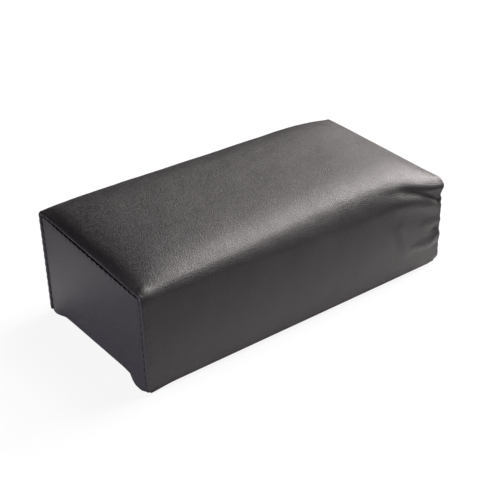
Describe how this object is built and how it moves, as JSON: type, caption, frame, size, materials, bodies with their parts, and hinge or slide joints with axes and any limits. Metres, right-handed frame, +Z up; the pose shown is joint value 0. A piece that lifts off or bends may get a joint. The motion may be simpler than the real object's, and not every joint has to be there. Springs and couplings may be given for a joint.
{
  "type": "manicure hand rest",
  "caption": "Black leatherette manicure hand rest: a domed box cushion with sewn flat ends, rolled seams and folded corners.",
  "frame": {"origin": "on the table under the middle of the cushion", "axes": "+X along the length towards the lower, right-hand end; +Y across the width towards the back; +Z up"},
  "size_m": [0.3001, 0.154, 0.1032],
  "materials": {
    "leatherette": "fine pebble grain, satin",
    "foam": "open-cell polyurethane foam, matte",
    "fibreboard": "raw fibreboard",
    "lining": "thin non-woven lining cloth",
    "staple_wire": "drawn wire"
  },
  "bodies": {
    "root": {"foam_core": "foam", "base_board": "fibreboard", "main_panel": "leatherette", "end_panel_left": "leatherette", "end_panel_right": "leatherette", "bottom_lining": "lining", "staple_01": "staple_wire", "staple_02": "staple_wire", "staple_03": "staple_wire", "staple_04": "staple_wire", "staple_05": "staple_wire", "staple_06": "staple_wire", "staple_07": "staple_wire", "staple_08": "staple_wire", "staple_09": "staple_wire", "staple_10": "staple_wire", "staple_11": "staple_wire", "staple_12": "staple_wire", "staple_13": "staple_wire", "staple_14": "staple_wire", "staple_15": "staple_wire", "staple_16": "staple_wire", "staple_17": "staple_wire", "staple_18": "staple_wire", "staple_19": "staple_wire", "staple_20": "staple_wire"}
  },
  "joints": []
}
